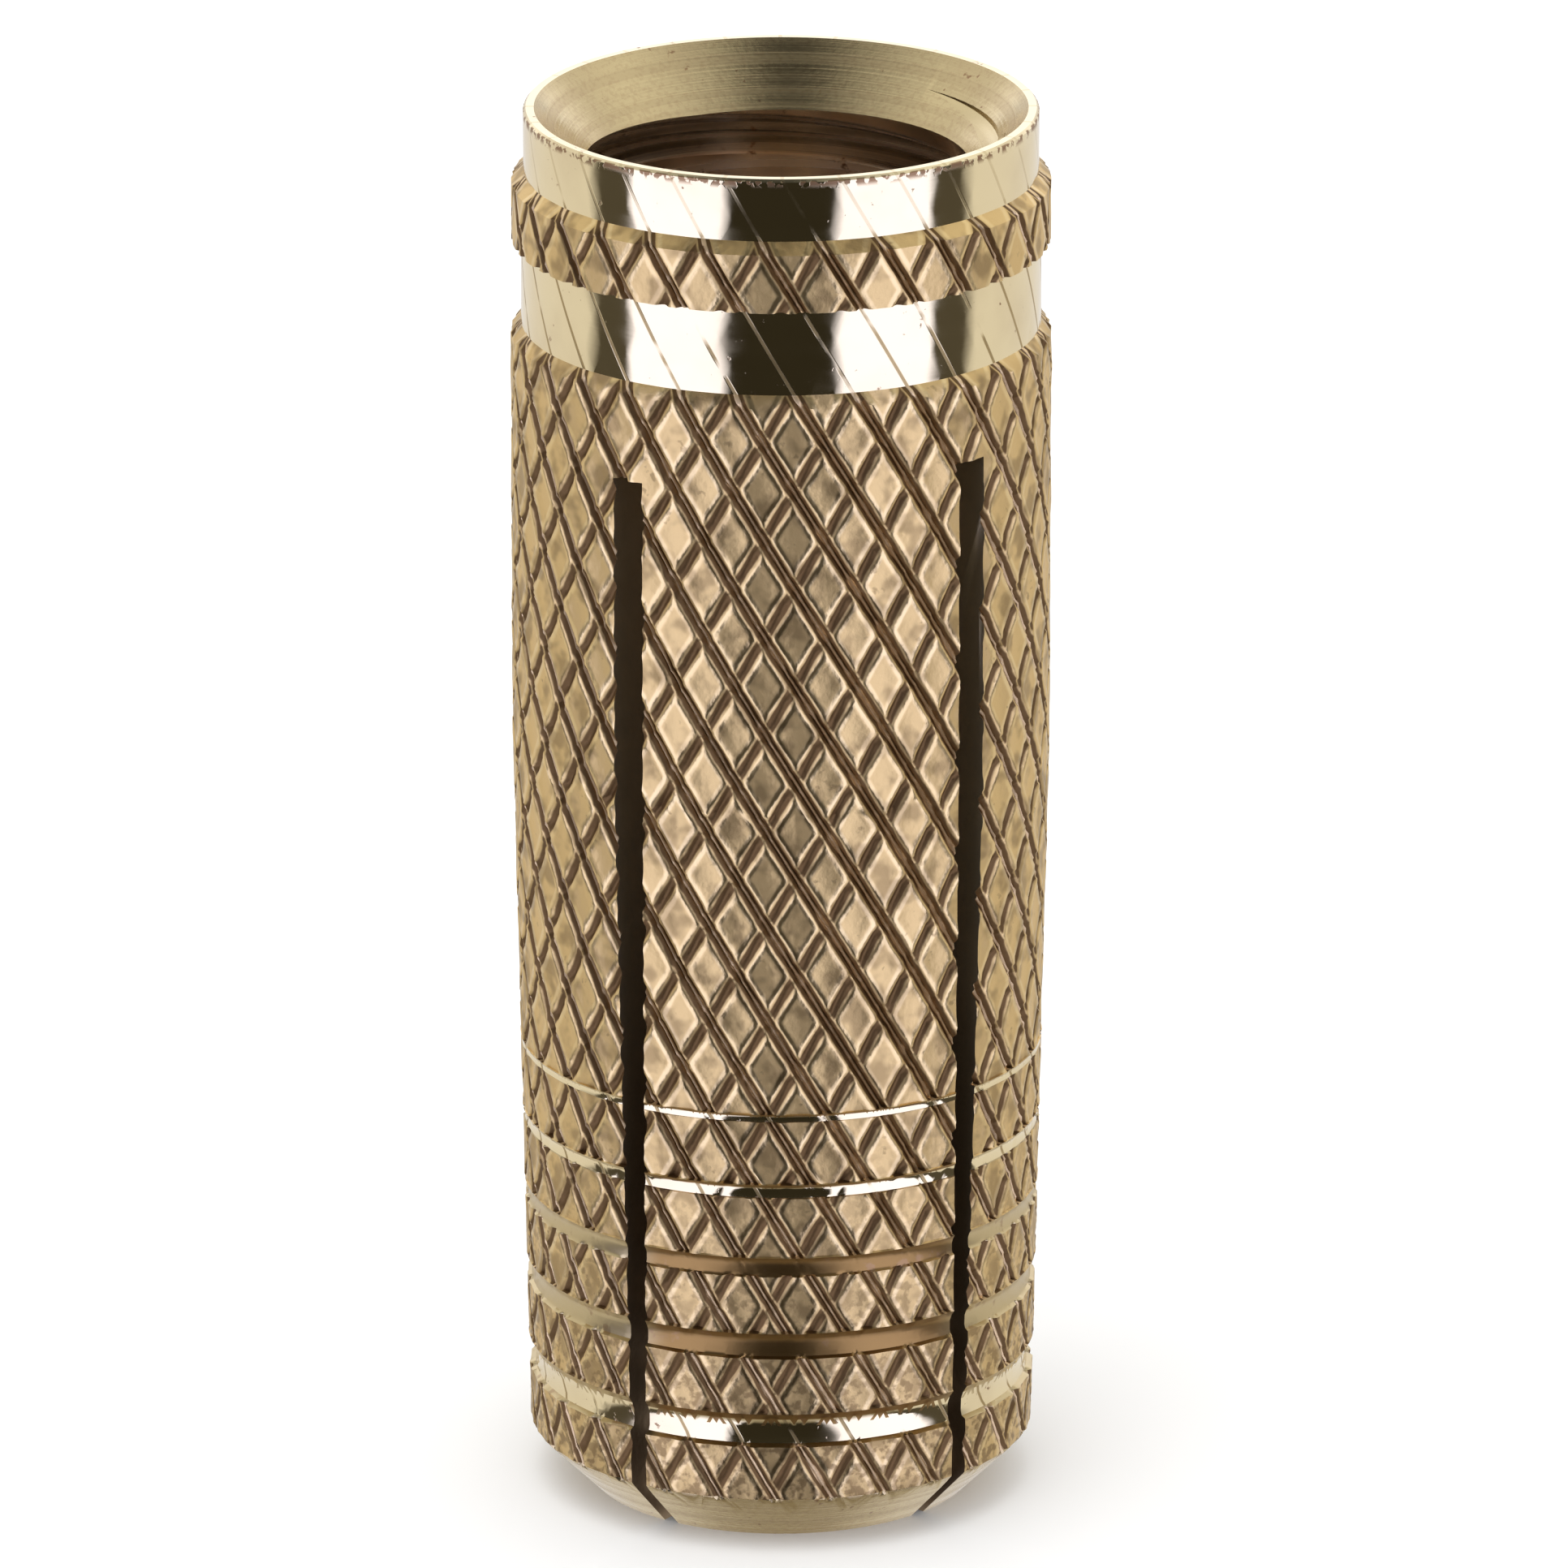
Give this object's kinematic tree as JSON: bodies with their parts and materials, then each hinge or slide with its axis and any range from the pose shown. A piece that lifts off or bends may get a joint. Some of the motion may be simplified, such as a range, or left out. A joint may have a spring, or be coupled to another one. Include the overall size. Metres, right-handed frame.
{
  "type": "brass expansion anchor",
  "caption": "Internally threaded, knurled brass sleeve whose slotted, squeezed-in legs spread and grip the drilled hole as a bolt is screwed in.",
  "frame": {"origin": "centre of the split end's face, on the axis, which the sleeve stands on", "axes": "+Z along the axis from the split tip to the threaded mouth; -Y through the middle of the front leg"},
  "size_m": [0.012, 0.012, 0.032],
  "materials": {
    "brass": "bright turned and knurled brass"
  },
  "bodies": {
    "root": {"anchor_sleeve": "brass"}
  },
  "joints": []
}
